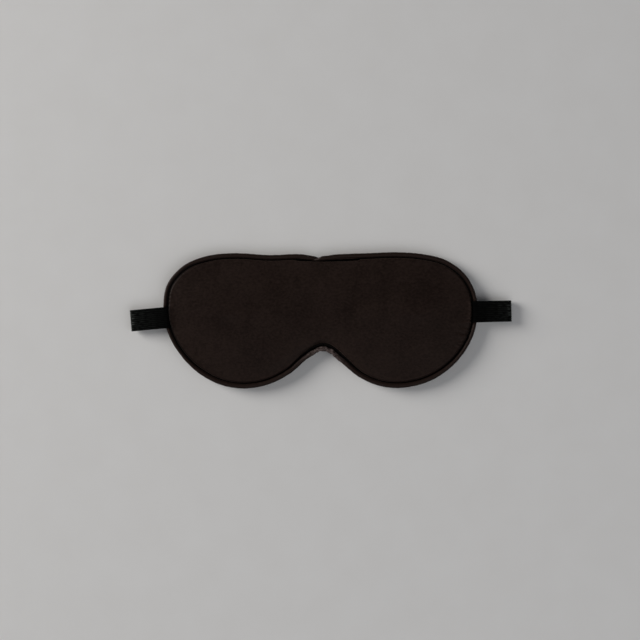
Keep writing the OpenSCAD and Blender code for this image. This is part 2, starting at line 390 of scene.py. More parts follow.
# Puckers at the seam: shortest and longest wave, height, and how far in they are highest.
PUCKERS = ((1.7, 3.2, 0.035, 0.9), (3.0, 6.0, 0.022, 1.8), (7.0, 15.0, 0.007, 4.0))
# The panel's turned edge: how far in from the seam line, and how far down.
TURNED_EDGE = ((3.0, 0.30), (1.6, 0.32), (0.7, 0.32), (0.2, 0.25), (0.0, 0.12))
BROW_GAP = (-19.0, 25.0)  # the turning gap in the brow seam, left and right
GAP_Y = 37.5  # the panel's edge is nearly straight there, lowest in the middle
GAP_BOW = 0.0016
GAP_W = 1.3


def gap_inset(s):
    """Distance from the outline to the panel's edge in the turning gap."""
    p = edge_point(s)
    return p[..., 1] - GAP_Y - GAP_BOW * (p[..., 0] - 2) ** 2


def gap_open(s):
    """How far the turning gap stands open at each place round the edge, from 0 to 1."""
    x, y = edge_point(s)[..., 0], edge_point(s)[..., 1]
    left = smooth((x - BROW_GAP[0]) / 5.0)
    right = 1 - smooth((x - BROW_GAP[1] + 1.2) / 1.2)
    return left * right * (y > 0)


SIDE_X = 60.0  # the strap only leaves the seam further out than this


def by_the_strap(s):
    """1 where the elastic leaves the seam, 0 away from it."""
    x, y = edge_point(s)[..., 0], edge_point(s)[..., 1]
    away = smooth((off_strap(x, y) - STRAP_W / 2 - 0.2) / 1.6)
    return (1 - away) * (np.abs(x) > SIDE_X)


def at_the_sides(s):
    """Weights of the left and of the right side of the mask."""
    x = edge_point(s)[..., 0]
    return smooth((-x - 72) / 20), smooth((x - 72) / 20)


def front_inset(s):
    """Distance from the outline to the front panel's turned edge."""
    notch = bump_at(s, ((3, -21, 13),))
    left, right = at_the_sides(s)
    plain = PANEL_INSET + 1.55 * notch - 0.7 * left - 0.15 * right + 0.5 * by_the_strap(s)
    return mix(plain, gap_inset(s), gap_open(s))


def fine_panel(name, grid, side, seed):
    """The finished panel: the inflated grid made finer, with a rolled edge and seam puckers."""
    rows, cols = grid.shape[:2]
    at_rows = np.linspace(0, 1, FINE_ROWS) ** 1.4 * (rows - 1)
    fine = resample(grid, at_rows, closed=False)
    at_cols = np.arange(2 * FINE_HALF) * cols / (2 * FINE_HALF)
    fine = resample(np.swapaxes(fine, 0, 1), at_cols, closed=True)
    fine = np.swapaxes(fine, 0, 1).copy()
    s = column_distances(FINE_HALF)
    gap, strap = gap_open(s) * (side > 0), by_the_strap(s) * (side > 0)
    reach = np.concatenate([[0 * fine[0, :, 0]], np.cumsum(np.linalg.norm(np.diff(fine, axis=0), axis=2), 0)])

    # The edge is drawn in at the turning gap and where the elastic comes out, and rolls up from the seam.
    inset = front_inset(s) if side > 0 else np.full(len(s), PANEL_INSET)
    fine[..., :2] += (edge_point(s, inset) - fine[0, :, :2])[None] * np.exp(-reach / 3.0)[..., None]
    fine[..., 2] += (0.9 * gap + 1.7 * strap) * np.exp(-reach / 1.2)
    rolled = shoulder(reach)
    fine[..., 2] += rolled if side > 0 else -0.8 * rolled * np.exp(-reach / 6.0)

    # Puckers: the shorter the wave, the closer to the seam it dies out.
    near = seam_gather(s) if side > 0 else 0.8
    for k, (short, long, amount, run) in enumerate(PUCKERS):
        wave = read_noise(edge_noise(seed + k, short, long, 14), s)
        share = reach / run
        fine[..., 2] += side * amount * wave * near * share * np.exp(1 - share) * np.exp(-(reach / 12.0) ** 2)
        if side > 0:
            out = edge_point(s) - edge_point(s, np.ones(len(s)))
            fine[..., :2] += out[None] * (1.2 * amount * wave * near * np.exp(-share))[..., None]

    # The turned edge goes down into the groove and back under the panel.
    turned = []
    for inward, down in TURNED_EDGE:
        turned.append(with_height(edge_point(s, inset + inward), fine[0, :, 2] - side * down))
    if side < 0:
        fine[..., 2] = clear_of_strap(*np.moveaxis(fine, -1, 0), edge=reach <= 3)
    full = np.concatenate([np.array(turned), fine])
    faces = body_faces(len(full), FINE_HALF, flip=side > 0)
    allowance = np.arange(-len(turned), 0)[:, None] * 0.8
    inward = np.concatenate([np.repeat(allowance, len(s), 1), reach])
    uv = flat_uv(s[None], inward)

    # Painted light on the cloth: painted shade where it goes into the groove, painted shade along the left
    # edge where the key light would leave a bright rim, and a faint painted sheen that grows towards the
    # edge.
    leftward = np.clip(-1.5 * round_the_edge(EDGE_OUT, s)[:, 0], 0, 1)
    painted_shade = 2 * np.exp(-reach / 0.25) + 1.8 * leftward * np.exp(-(reach / 1.4) ** 2)
    painted_sheen_and_shade = 1 - smooth(reach / 30.0) - painted_shade
    # The turned edge is painted black: painted shade down in the groove.
    painted_light = np.concatenate([-np.ones((len(turned), len(s))), painted_sheen_and_shade]).reshape(-1)
    points, faces, uv, painted_light = drop_loose(full.reshape(-1, 3), faces, uv, painted_light)
    return mesh_object(name, points, faces, uv, painted_light=painted_light)


def bump_at(s, places):
    """A soft weight near each (x, y, width) place on the outline."""
    p = edge_point(s)
    total = np.zeros(p.shape[:-1])
    for x, y, width in places:
        total += np.exp(-((p[..., 0] - x) ** 2 + (p[..., 1] - y) ** 2) / (2 * width**2))
    return total


def seam_gather(s):
    """How strongly the seam is gathered: more by the straps, on the right edge and at the notch."""
    few = bump_at(s, ((-100, 14, 5), (-98, -9, 6), (100, 16, 5), (2, -20, 10)))
    many = bump_at(s, ((98, -8, 9),))
    return 0.6 + 0.8 * few + 5.5 * many


def padded_layer(name, bottom, top, seed):
    """A hidden layer of the padding between two surfaces of body points, its top a little uneven."""
    top = top.copy()
    top[:-1, :, 2] -= 0.1 * np.random.default_rng(seed).uniform(0, 1, top[:-1, :, 2].shape)
    rows, cols = top.shape[:2]
    upper = body_faces(rows, cols // 2, flip=True)
    lower = [[v + rows * cols for v in f] for f in body_faces(rows, cols // 2, flip=False)]
    wall = [(c, rows * cols + c, rows * cols + (c + 1) % cols, (c + 1) % cols) for c in range(cols)]
    points = np.concatenate([top.reshape(-1, 3), bottom.reshape(-1, 3)])
    points, faces = drop_loose(points, upper + lower + wall)
    return mesh_object(name, points, faces, uv=points[:, :2])


# --- Piping ---

PIPE_SIDES = 28
PIPE_STEP = 0.4
# Creases of the piping: shortest and longest wave, and height.
PIPE_CREASES = ((1.2, 2.2, 0.022), (2.4, 5.0, 0.030), (6.0, 14.0, 0.030))
# The flange inside the piping: inset from the outline, and height above the groove.
FLANGE = ((1.4, 0.7), (2.2, 0.55), (2.9, 0.3), (3.6, 0.05), (4.6, 0.0), (6.0, 0.0))
FLANGE_T = 0.3
RIGHT_LAP = 2.6  # how far each end of the piping runs past the middle of the brow
LEFT_LAP = 4.4


def notch_weight(s):
    return bump_at(s, ((2.5, -20, 7.5),))


def closed_tube(centre, across, height, wrinkle, sides):
    """Rings of points round a line that stays level: across and height are its two radii."""
    ahead = unit(np.gradient(centre, axis=0))
    side = unit(np.stack([-ahead[:, 1], ahead[:, 0], 0 * ahead[:, 0]], 1))
    up = np.cross(side, ahead)
    up *= np.sign(up[:, 2:3])
    angle = ring_angles(sides)
    return (centre[:, None] + side[:, None] * ((across[:, None] + wrinkle) * np.cos(angle))[..., None]
            + up[:, None] * ((height[:, None] + wrinkle) * np.sin(angle))[..., None])


def piping_line(s):
    """Centre line of the piping and its radius in plan, with its two ends drawn to the seam and lapped."""
    right = 1 - smooth((s + RIGHT_LAP) / 5.5)
    left = 1 - smooth((AROUND + LEFT_LAP - s) / 9.0)
    tucked = 1 - smooth((s + RIGHT_LAP) / 1.2)
    outer = 2.2 * right + 1.8 * left
    left_side, right_side = at_the_sides(s)
    inner = 2 * PIPING_R - 0.85 * left_side - 0.6 * right_side - 0.1 * right
    z = SEAM_Z + 0.04 * read_noise(edge_noise(31, 20, 60, 6), s) - 0.15 * by_the_strap(s)
    z += 1.15 * smooth(right * 1.6) - 1.1 * left - 0.6 * tucked
    return with_height(edge_point(s, (outer + inner) / 2), z), (inner - outer) / 2, right, left


def piping(name):
    """The piping cover: its tube, the flange inside it, and the ridge in the turning gap."""
    s = np.arange(-RIGHT_LAP, AROUND + LEFT_LAP, PIPE_STEP)
    centre, radius, right, left = piping_line(s)
    angle = ring_angles(PIPE_SIDES)
    gather = 0.6 + 3.6 * notch_weight(s) + 0.8 * bump_at(s, ((-2, 41, 6), (99, -6, 12)))
    rng = np.random.default_rng(5)
    wrinkle = np.zeros((len(s), PIPE_SIDES))
    for short, long, amount in PIPE_CREASES:
        turns, phases, weights = edge_noise(int(short * 10), short, long, 12)
        slant = rng.integers(-2, 3, 12)
        wave = np.sin(2 * math.pi * np.multiply.outer(s / AROUND, turns)[:, None, :]
                      + phases + np.multiply.outer(angle, slant)[None])
        wrinkle += amount * gather[:, None] * (wave * weights).sum(-1)
    wrinkle *= (radius / PIPING_R)[:, None]
    flat = 1 - 0.45 * np.maximum(right, left) - 0.12 * by_the_strap(s)
    height = (PIPING_R + radius * (1 - right) * (1 - left)) / 2 * flat
    points = closed_tube(centre, radius, height, wrinkle, PIPE_SIDES).reshape(-1, 3)
    tube = (points, tube_faces(len(s), PIPE_SIDES), flat_uv(s[:, None], angle[None] * PIPING_R))
    # Painted highlights round the notch, and on the outside of its right-hand end.
    outward = np.clip(2.4 * np.cos(angle) + 0.1, 0, 1) * (np.sin(angle) > -0.3)
    notch_highlight = np.clip(1.05 * notch_weight(s), 0, 1)
    painted_light = (notch_highlight[:, None] + smooth(right * 2.2)[:, None] * outward[None]).reshape(-1)

    # Both edges of the bias strip go on inwards as a flat flange, which the seam holds.
    t = np.linspace(0, AROUND, 700, endpoint=False)
    ruffle = 0.05 * read_noise(edge_noise(77, 3, 9, 12), t)
    strip = []
    for inset, height in FLANGE + tuple((i, h - FLANGE_T) for i, h in FLANGE[::-1]):
        level = GROOVE_Z + height + (ruffle if inset > 3 else 0) - 0.5 * gap_open(t) - 0.6 * notch_weight(t)
        strip.append(with_height(edge_point(t, np.full(len(t), inset)), level))
    faces = grid_faces(len(strip), len(t), close_cols=True, close_rows=True, flip=True)
    flange = (np.concatenate(strip), faces, flat_uv(t[None], np.arange(len(strip))[:, None] * 1.2))

    # In the turning gap the folded allowance stands up as a narrow ridge beside the piping.
    t = np.arange(brow_place(BROW_GAP[0] + 1), brow_place(BROW_GAP[1] - 0.4), PIPE_STEP)
    ends = np.minimum(smooth((t - t[0]) / 9.0), smooth((t[-1] - t) / 1.5))
    fold = 0.05 * read_noise(edge_noise(91, 2.5, 7, 10), t)
    line = edge_point(t, gap_inset(t) - GAP_W - 0.33 + fold)
    centre = with_height(line, GROOVE_Z + 0.4 + 1.15 * ends + fold)
    sides = 12
    points = closed_tube(centre, 0.08 + 0.25 * ends, 0.1 + 0.42 * ends, np.zeros((len(t), sides)), sides)
    uv = flat_uv(t[:, None], np.arange(sides)[None] * 0.25)
    ridge = (points.reshape(-1, 3), tube_faces(len(t), sides), uv)

    # The flange is painted black: painted shade down in the groove; the ridge gets no painted light.
    painted_light = np.concatenate([painted_light, np.full(len(flange[0]), -1.0), np.zeros(len(ridge[0]))])
    return mesh_object(name, *join((tube, flange, ridge)), painted_light=painted_light)


def cord_mesh(name):
    """The twisted cord inside the piping: three strands laid round each other."""
    s = np.linspace(9.0, AROUND - 9.0, 620)
    centre, radius, _, _ = piping_line(s)
    out = edge_point(s) - edge_point(s, np.ones(len(s)))
    sides = 18
    angle = ring_angles(sides)
    twist = 2 * math.pi * round(AROUND / 9.0) * s / AROUND
    lobes = radius[:, None] * (0.62 + 0.07 * np.cos(3 * (angle[None] - twist[:, None])))
    xy = centre[:, None, :2] + out[:, None] * (lobes * np.cos(angle))[..., None]
    points = with_height(xy, centre[:, None, 2] + lobes * np.sin(angle)).reshape(-1, 3)
    return mesh_object(name, points, tube_faces(len(s), sides), flat_uv(s[:, None], angle[None]))


# --- Thread ---

def thread_mesh(name, paths, radius, sides=8):
    """Short lengths of thread, one closed tube for each path."""
    parts = []
    angle = ring_angles(sides)
    for path in paths:
        ahead = unit(np.gradient(path, axis=0))
        side = unit(np.cross(ahead, (0, 0, 1)))
        top = np.cross(side, ahead)
        thin = np.full((len(path), 1), radius)
        thin[[0, -1]] *= 0.45
        tube = (path[:, None] + side[:, None] * (thin * np.cos(angle))[..., None]
                + top[:, None] * (thin * np.sin(angle))[..., None])
        uv = flat_uv(np.arange(len(path))[:, None] * 0.5, angle[None])
        parts.append((tube.reshape(-1, 3), tube_faces(len(path), sides), uv))
    return mesh_object(name, *join(parts))


def seam_stitches(name):
    """The machine seam round the edge, in the groove between the piping and the panel."""
    pitch = 2.5
    count = int(AROUND / pitch)
    paths = []
    for k in range(count):
        s = (k + np.linspace(0.08, 0.92, 6)) * AROUND / count
        line = edge_point(s, np.minimum(front_inset(s), 4.0) - 0.4)
        paths.append(with_height(line, GROOVE_Z + 0.2 + 0.1 * np.sin(np.linspace(0, math.pi, 6))))
    return thread_mesh(name, paths, 0.16)


def gap_stitches(name):
    """Hand stitches across the turning gap, slanting and not quite even."""
    rng = np.random.default_rng(12)
    first, last = brow_place(BROW_GAP[0] + 3), brow_place(BROW_GAP[1] - 2)
    paths = []
    for base in np.arange(first, last, 3.4):
        s0 = base + rng.uniform(-0.4, 0.4)
        lean = rng.uniform(0.5, 1.1)
        t = np.linspace(0, 1, 7)
        line = edge_point(s0 + lean * t, float(front_inset(s0)) - GAP_W - 0.2 + t * (GAP_W + 0.5))
        paths.append(with_height(line, GROOVE_Z + 0.55 + 0.1 * np.sin(math.pi * t)))
    return thread_mesh(name, paths, 0.09)


def brow_place(x):
    """Distance round the outline, from the middle of the brow, of the brow point at x."""
    s = np.linspace(-60, 60, 1201)
    return float(np.interp(x, edge_point(s)[:, 0], s))


# --- Elastic strap: drawn along its own line, as distance from the centre, across, and height ---

RIBS = 11
RIB_H = 0.2
ACROSS = 111  # points across the band, on each face


def arc(cx, cz, r, start, end, step=0.35):
    """Points of an arc from the angle start to the angle end, in degrees."""
    n = max(3, int(abs(math.radians(end - start)) * r / step) + 1)
    a = np.radians(np.linspace(start, end, n))
    return np.stack([cx + r * np.cos(a), cz + r * np.sin(a)], 1)


def line(*points, step=0.8):
    """Points of the straight lines from each point to the next."""
    out = []
    for (s0, z0), (s1, z1) in zip(points[:-1], points[1:]):
        n = max(2, int(math.hypot(s1 - s0, z1 - z0) / step) + 1)
        t = np.linspace(0, 1, n)[:, None]
        out.append(np.array([[s0, z0]]) * (1 - t) + np.array([[s1, z1]]) * t)
    return np.vstack(out)


def tab_line():
    """The tab's line, from the top of its bend over the piping down to its fold."""
    t = np.linspace(0, 1, 27)
    return np.stack([mix(HINGE_S, FOLD_S, t), mix(SEAM_Z - 0.05 + WRAP_R, TAB_Z, smooth(t))], 1)


def even(path, step):
    """The path with double points taken out and points about step apart."""
    keep = np.concatenate([[True], np.linalg.norm(np.diff(path, axis=0), axis=1) > 1e-4])
    path = path[keep]
    far = np.concatenate([[0], np.cumsum(np.linalg.norm(np.diff(path, axis=0), axis=1))])
    at = np.linspace(0, far[-1], max(3, int(far[-1] / step) + 1))
    return np.stack([np.interp(at, far, path[:, k]) for k in range(2)], 1), at


def strap_section():
    """(across, height) points round the elastic's ribbed section."""
    x = np.linspace(0, 1, ACROSS)
    across = (x - 0.5) * STRAP_W
    rib = RIB_H * np.abs(np.sin(math.pi * RIBS * x)) ** 0.7
    half = STRAP_T / 2 - RIB_H + rib
    half = np.minimum(half, 0.05 + 0.9 * np.sqrt(np.maximum(0, STRAP_W / 2 - np.abs(across))))
    top = np.stack([across, half], 1)
    bottom = np.stack([across, -half], 1)[::-1]
    return np.concatenate([top, bottom])


SECTION = strap_section()

# How bright the rib crowns are painted, by distance along the elastic from its sewn end: painted shade near
# the seam, and a painted highlight where the elastic turns over at its fold.
PAINTED_CROWN_LIGHT = ((6, 12, 24, 28.5, 30, 32, 36, 44), (0.1, 0.4, 0.95, 1.3, 3.6, 5.0, 1.2, 0.9))


def left_slant(s, level):
    """The left tab leaves the seam a little askew; its hidden run comes back to the common line."""
    tab = 0.6 - 0.0703 * (s - 101.8)
    run = tab * smooth((s - 62) / 46)
    return np.where((level > FOLD_Z) & (s > 60), tab, run)


def strap_piece(name, side, *parts, first=0.0, step=0.8):
    """A stretch of elastic along its parts, each made of (distance from the centre, height) rows.

    first is the stretch's own place along the elastic, which its weave and its painted crown light go by.
    """
    path, far = even(np.vstack(parts), step)
    ahead = unit(np.gradient(path, axis=0))
    normal = np.stack([-ahead[:, 1], ahead[:, 0]], 1)
    s = path[:, None, 0] + normal[:, None, 0] * SECTION[None, :, 1]
    z = path[:, None, 1] + normal[:, None, 1] * SECTION[None, :, 1]
    w = np.broadcast_to(SECTION[None, :, 0], s.shape).copy()
    if side < 0:
        askew = np.clip((path[:, 0] - 100) / 19, 0, 1)[:, None]
        s = s + w * 0.06 * askew
        w = w + left_slant(path[:, 0], path[:, 1])[:, None]
    x = side * s * math.cos(STRAP_TILT) - w * math.sin(STRAP_TILT)
    y = STRAP_Y + side * s * math.sin(STRAP_TILT) + w * math.cos(STRAP_TILT)
    points = np.stack([x, y, z], -1).reshape(-1, 3)
    rows, cols = len(path), len(SECTION)
    faces = grid_faces(rows, cols, close_cols=True, flip=side > 0)
    uv = flat_uv(first + far[:, None], SECTION[None, :, 0])
    for end in (0, rows - 1):
        near, past = len(points), len(points) + cols - 1
        cap = [(near + k, near + k + 1, past - 1 - k, past - k) for k in range(cols // 2 - 1)]
        faces += cap if (end == 0) == (side < 0) else [f[::-1] for f in cap]
        points = np.concatenate([points, points[end * cols:(end + 1) * cols]])
        uv = np.concatenate([uv, uv[end * cols:(end + 1) * cols]])
    # Each point's painted light along the elastic: painted shade near the seam, painted highlight at the
    # fold.
    return mesh_object(name, points, faces, uv, painted_light=np.interp(uv[:, 0], *PAINTED_CROWN_LIGHT))


# Where one piece of elastic ends and the next begins, and the radii of its two small turns.
TAB_SPLIT = 109.0
RUN_SPLIT = 112.0
TURN_SPLIT = 16.0
STRAND_FROM = 8.0
STRAND_TO = 38.0
TURN_R = (RETURN_Z - RUN_Z) / 2
LOOP_R = 0.95


def strap_pieces():
    """Every visible stretch of elastic; the runs, the turn round the ring and the slider loop go on the joint
    that carries them.
    """
    made = []
    sewn = np.vstack([line((SEWN_REACH, SEAM_Z + 0.55), (HINGE_S - 3, SEAM_Z + 0.55)),
                      arc(HINGE_S, SEAM_Z - 0.05, WRAP_R, 158, 90)])
    tab = tab_line()
    inner = tab[tab[:, 0] <= TAB_SPLIT]
    outer = tab[tab[:, 0] >= inner[-1, 0]]
    fold = arc(FOLD_S, FOLD_Z, FOLD_R, 90, -90)
    for side, word in ((1, "right"), (-1, "left")):
        seam = strap_piece(f"elastic_seam_{word}", side, sewn, inner)
        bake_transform(seam)
        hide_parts(f"strap_end_{word}", f"strap_tab_{word}")
        bend = strap_piece(f"elastic_fold_{word}", side, outer, fold,
                           line((FOLD_S, RUN_Z), (RUN_SPLIT, RUN_Z)), first=18.0, step=0.5)
        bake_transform(bend)
        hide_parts(f"strap_fold_{word}")
        made += [seam, bend]
    round_bar = arc(RING_BAR_S, BAR_Z, TURN_R, -90, -270)
    right_run = strap_piece("elastic_run_right", 1, line((RUN_SPLIT, RUN_Z), (TURN_SPLIT, RUN_Z)), first=40.0)
    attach(right_run, "run_right")
    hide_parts("strap_run_right")
    turn = strap_piece("elastic_turn", 1, line((TURN_SPLIT, RUN_Z), (RING_BAR_S, RUN_Z)), round_bar,
                       line((RING_BAR_S, RETURN_Z), (STRAND_FROM, RETURN_Z)), first=136.0, step=0.5)
    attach(turn, "run_right")
    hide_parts("strap_return")
    strand = strap_piece("elastic_return", 1, line((STRAND_FROM, RETURN_Z), (STRAND_TO, RETURN_Z)),
                         first=155.0)
    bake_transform(strand)
    under_z = RETURN_Z - 2 * LOOP_R
    tail = strap_piece("elastic_slider_loop", 1, line((STRAND_TO, RETURN_Z), (SLIDER_S, RETURN_Z)),
                       arc(SLIDER_S, RETURN_Z - LOOP_R, LOOP_R, 90, -90),
                       line((SLIDER_S, under_z), (STRAND_TO, under_z)), first=185.0, step=0.4)
    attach(tail, "slider")
    lap_z = RUN_Z + STRAP_T + 0.03
    lap = line((RING_BAR_S, RETURN_Z), (RING_BAR_S + 9, RETURN_Z), (RING_BAR_S + 12, lap_z),
               (RING_BAR_S + 19, lap_z))
    left_run = strap_piece("elastic_run_left", -1, line((RUN_SPLIT, RUN_Z), (RING_BAR_S, RUN_Z)), round_bar,
                           lap, first=40.0, step=0.6)
    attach(left_run, "run_left")
    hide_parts("strap_run_left")
    return made + [right_run, turn, strand, tail, left_run]


# --- Materials ---

def new_material(name, colour, roughness, **sockets):
    """A plain material; sockets are more of the shader's numbers, with _ for the spaces in their names."""
    mat = bpy.data.materials.new(name)
    mat.use_nodes = True
    shader = mat.node_tree.nodes["Principled BSDF"]
    shader.inputs["Base Color"].default_value = (*colour, 1)
    shader.inputs["Roughness"].default_value = roughness
    for key, value in sockets.items():
        shader.inputs[key.replace("_", " ")].default_value = value
    return mat, mat.node_tree, shader


def node(tree, kind, inputs=None, **settings):
    made = tree.nodes.new(kind)
    for key, value in settings.items():
        setattr(made, key, value)
    for key, value in (inputs or {}).items():
        if isinstance(value, bpy.types.NodeSocket):
            tree.links.new(value, made.inputs[key])
        else:
            made.inputs[key].default_value = value
    return made


def cloth_place(tree, along, across):
    """The cloth's UVs, scaled to so many repeats for each millimetre."""
    uv = node(tree, "ShaderNodeUVMap", uv_map="cloth").outputs["UV"]
    scale = (along / UV_SCALE, across / UV_SCALE, 1)
    return node(tree, "ShaderNodeMapping", {"Vector": uv, "Scale": scale}).outputs["Vector"]


def object_place(tree, scale=(1000, 1000, 1000)):
    """The place in the object, in millimetres unless scale says otherwise."""
    place = node(tree, "ShaderNodeTexCoord").outputs["Object"]
    return node(tree, "ShaderNodeMapping", {"Vector": place, "Scale": scale}).outputs["Vector"]


# Reads the painted light attribute: painted highlight above 0, painted shade below 0.
def painted_light_value(tree):
    return node(tree, "ShaderNodeAttribute", attribute_name="painted_light").outputs["Fac"]


def noise(tree, place, scale, detail, roughness=0.5, distortion=0.0):
    return node(tree, "ShaderNodeTexNoise", {
        "Vector": place, "Scale": scale, "Detail": detail, "Roughness": roughness, "Distortion": distortion,
    }).outputs["Fac"]


def diagonal_wave(tree, place, scale, distortion, detail=2.0, detail_scale=1.0):
    return node(tree, "ShaderNodeTexWave", {
        "Vector": place, "Scale": scale, "Distortion": distortion, "Detail": detail,
        "Detail Scale": detail_scale,
    }, bands_direction="DIAGONAL").outputs["Fac"]


def maths(tree, operation, *values):
    return node(tree, "ShaderNodeMath", dict(enumerate(values)), operation=operation).outputs["Value"]


def ranged(tree, value, low, high, to_low=0.0, to_high=1.0):
    """The value's range from low to high, spread over the range from to_low to to_high."""
    return node(tree, "ShaderNodeMapRange", {
        "Value": value, "From Min": low, "From Max": high, "To Min": to_low, "To Max": to_high,
    }).outputs["Result"]


def colour_ramp(tree, factor, low, high):
    ramp = node(tree, "ShaderNodeValToRGB", {"Fac": factor})
    ramp.color_ramp.elements[0].color = (*low, 1)
    ramp.color_ramp.elements[1].color = (*high, 1)
    return ramp.outputs["Color"]


def colour_by(tree, shader, factor, low, high):
    tree.links.new(colour_ramp(tree, factor, low, high), shader.inputs["Base Color"])


def roughen_by(tree, shader, factor, low, high):
    tree.links.new(ranged(tree, factor, 0.0, 1.0, low, high), shader.inputs["Roughness"])


def mix_base(tree, shader, factor, a, b):
    """Base colour a where factor is 0, b where it is 1; 6 and 7 are the node's colour inputs."""
    mixed = node(tree, "ShaderNodeMix", {0: factor, 6: a, 7: b}, data_type="RGBA")
    tree.links.new(mixed.outputs[2], shader.inputs["Base Color"])


def base_of(shader):
    return shader.inputs["Base Color"].links[0].from_socket


def paint_fold_shade(tree, shader, painted_light):
    """Painted shade: where the point attribute goes below 0, in the seam's fold, the colour goes to black."""
    mix_base(tree, shader, ranged(tree, painted_light, -1.0, 0.0), (0.0004, 0.0003, 0.0003, 1), base_of(shader))


def bump_chain(tree, shader, *layers):
    """Bumps laid one on another, each (height, strength, distance)."""
    normal = None
    for height, strength, distance in layers:
        inputs = {"Height": height, "Strength": strength, "Distance": distance}
        if normal is not None:
            inputs["Normal"] = normal
        normal = node(tree, "ShaderNodeBump", inputs).outputs["Normal"]
    tree.links.new(normal, shader.inputs["Normal"])


WARM_GLOSS = (1.0, 0.86, 0.80, 1)


def satin_material(name, dark, light, rough):
    """Satin weave: fine floats one way, soft creases and slow changes of colour, with a faint painted sheen
    towards the edge and painted shade in the seam's fold.
    """
    mat, tree, shader = new_material(name, dark, rough, Sheen_Weight=0.08, Sheen_Roughness=0.5,
                                     Sheen_Tint=(0.6, 0.42, 0.36, 1), Specular_IOR_Level=0.09,
                                     Specular_Tint=WARM_GLOSS)
    place = object_place(tree)
    weave = diagonal_wave(tree, place, 0.9, 1.5, 2.0, 3.0)
    slubs = noise(tree, object_place(tree, (560, 800, 700)), 1.0, 3.0, 0.65)
    folds = noise(tree, place, 0.07, 3.0)
    tone = node(tree, "ShaderNodeMix", {"Factor": 0.3, "A": slubs, "B": folds}).outputs["Result"]
    painted_light = painted_light_value(tree)
    # The point attribute adds a faint painted sheen near the edge; below 0 it paints the fold's shade.
    spread = ranged(tree, maths(tree, "MULTIPLY_ADD", painted_light, 0.03, tone), 0.385, 0.615)
    colour_by(tree, shader, spread, dark, light)
    roughen_by(tree, shader, spread, rough - 0.05, rough + 0.05)
    paint_fold_shade(tree, shader, painted_light)
    bump_chain(tree, shader, (folds, 0.25, 0.0010), (slubs, 0.25, 0.00012), (weave, 0.2, 0.00004))
    return mat


def piping_material():
    """Bias-cut satin round the cord: diagonal floats, tension creases, a painted highlight at the notch and
    at the right-hand end, and painted shade on the flange in the groove.
    """
    dark, light = (0.0085, 0.0047, 0.0037), (0.0185, 0.0108, 0.0086)
    mat, tree, shader = new_material("piping_satin", dark, 0.42, Sheen_Weight=0.04, Sheen_Roughness=0.4,
                                     Sheen_Tint=(0.6, 0.45, 0.40, 1), Specular_IOR_Level=0.12,
                                     Specular_Tint=WARM_GLOSS)
    creases = noise(tree, cloth_place(tree, 0.55, 0.9), 1.0, 2.0)
    bias = diagonal_wave(tree, cloth_place(tree, 1, 1), 1.1, 0.8, 1.0)
    colour_by(tree, shader, creases, dark, light)
    roughen_by(tree, shader, creases, 0.36, 0.50)
    painted_light = painted_light_value(tree)
    # Painted highlight, mixed in where the point attribute is above 0.
    painted_highlight = colour_ramp(tree, ranged(tree, creases, 0.38, 0.62),
                         (0.019, 0.0135, 0.0120), (0.120, 0.092, 0.086))
    mix_base(tree, shader, painted_light, base_of(shader), painted_highlight)
    paint_fold_shade(tree, shader, painted_light)
    bump_chain(tree, shader, (creases, 0.5, 0.00025), (bias, 0.3, 0.00005))
    return mat


def elastic_material():
    """Ribbed knitted elastic: painted shade between the ribs and painted highlights on their crowns, with
    crosswise stitches staggered from rib to rib.
    """
    dark, light = (0.0002, 0.00025, 0.00025), (0.055, 0.060, 0.056)
    mat, tree, shader = new_material("ribbed_elastic", dark, 0.6, Specular_IOR_Level=0.03)
    row = STRAP_W / RIBS
    cloth = cloth_place(tree, 1, 1)
    stitches = node(tree, "ShaderNodeTexBrick", {
        "Vector": cloth, "Scale": 1.0, "Mortar Size": 0.10, "Mortar Smooth": 0.9, "Brick Width": 0.7,
        "Row Height": row / 2, "Color1": (1, 1, 1, 1), "Color2": (0.8, 0.8, 0.8, 1), "Mortar": (0, 0, 0, 1),
    }, offset=0.5).outputs["Color"]
    # The wave repeats with the ribs that the mesh has across the band.
    shifted = node(tree, "ShaderNodeMapping", {"Vector": cloth, "Location": (0, STRAP_W / 2, 0)})
    split = node(tree, "ShaderNodeSeparateXYZ", {"Vector": shifted.outputs["Vector"]})
    swing = maths(tree, "SINE", maths(tree, "MULTIPLY", split.outputs["Y"], math.pi / row))
    # Painted light on the ribs: their crowns painted light, the valleys between them painted dark.
    crowns = maths(tree, "POWER", maths(tree, "ABSOLUTE", swing), 2.2)
    fuzz = noise(tree, cloth, 2.2, 3.0, 0.7)
    streaks = noise(tree, cloth_place(tree, 0.35, 0.85), 1.0, 2.0, 0.6)
    uneven = ranged(tree, streaks, 0.36, 0.64, 0.05, 1.0)
    # The point attribute along the elastic scales the painted crown light: dark near the seam, brightest at
    # the fold.
    crown_light = maths(tree, "MULTIPLY", maths(tree, "MULTIPLY", crowns, uneven), painted_light_value(tree))
    share = maths(tree, "MULTIPLY", crown_light, 0.25)
    colour_by(tree, shader, share, dark, light)
    roughen_by(tree, shader, share, 0.68, 0.48)
    bump_chain(tree, shader, (stitches, 0.5, 0.00012), (fuzz, 0.3, 0.00008))
    return mat


def thread_material():
    dark, light = (0.0012, 0.0011, 0.0010), (0.0045, 0.0041, 0.0038)
    mat, tree, shader = new_material("black_thread", dark, 0.6, Specular_IOR_Level=0.05)
    twist = diagonal_wave(tree, object_place(tree), 1.6, 0.4)
    colour_by(tree, shader, twist, dark, light)
    bump_chain(tree, shader, (twist, 0.5, 0.00006))
    return mat


def fibre_material(name, low, high, rough, scale):
    """Lofty or felted fibre for the hidden layers."""
    mat, tree, shader = new_material(name, low, rough, Sheen_Weight=0.2)
    fibre = noise(tree, object_place(tree), scale, 8.0, 0.7, 1.5)
    colour_by(tree, shader, fibre, low, high)
    bump_chain(tree, shader, (fibre, 0.6, 0.0002))
    return mat


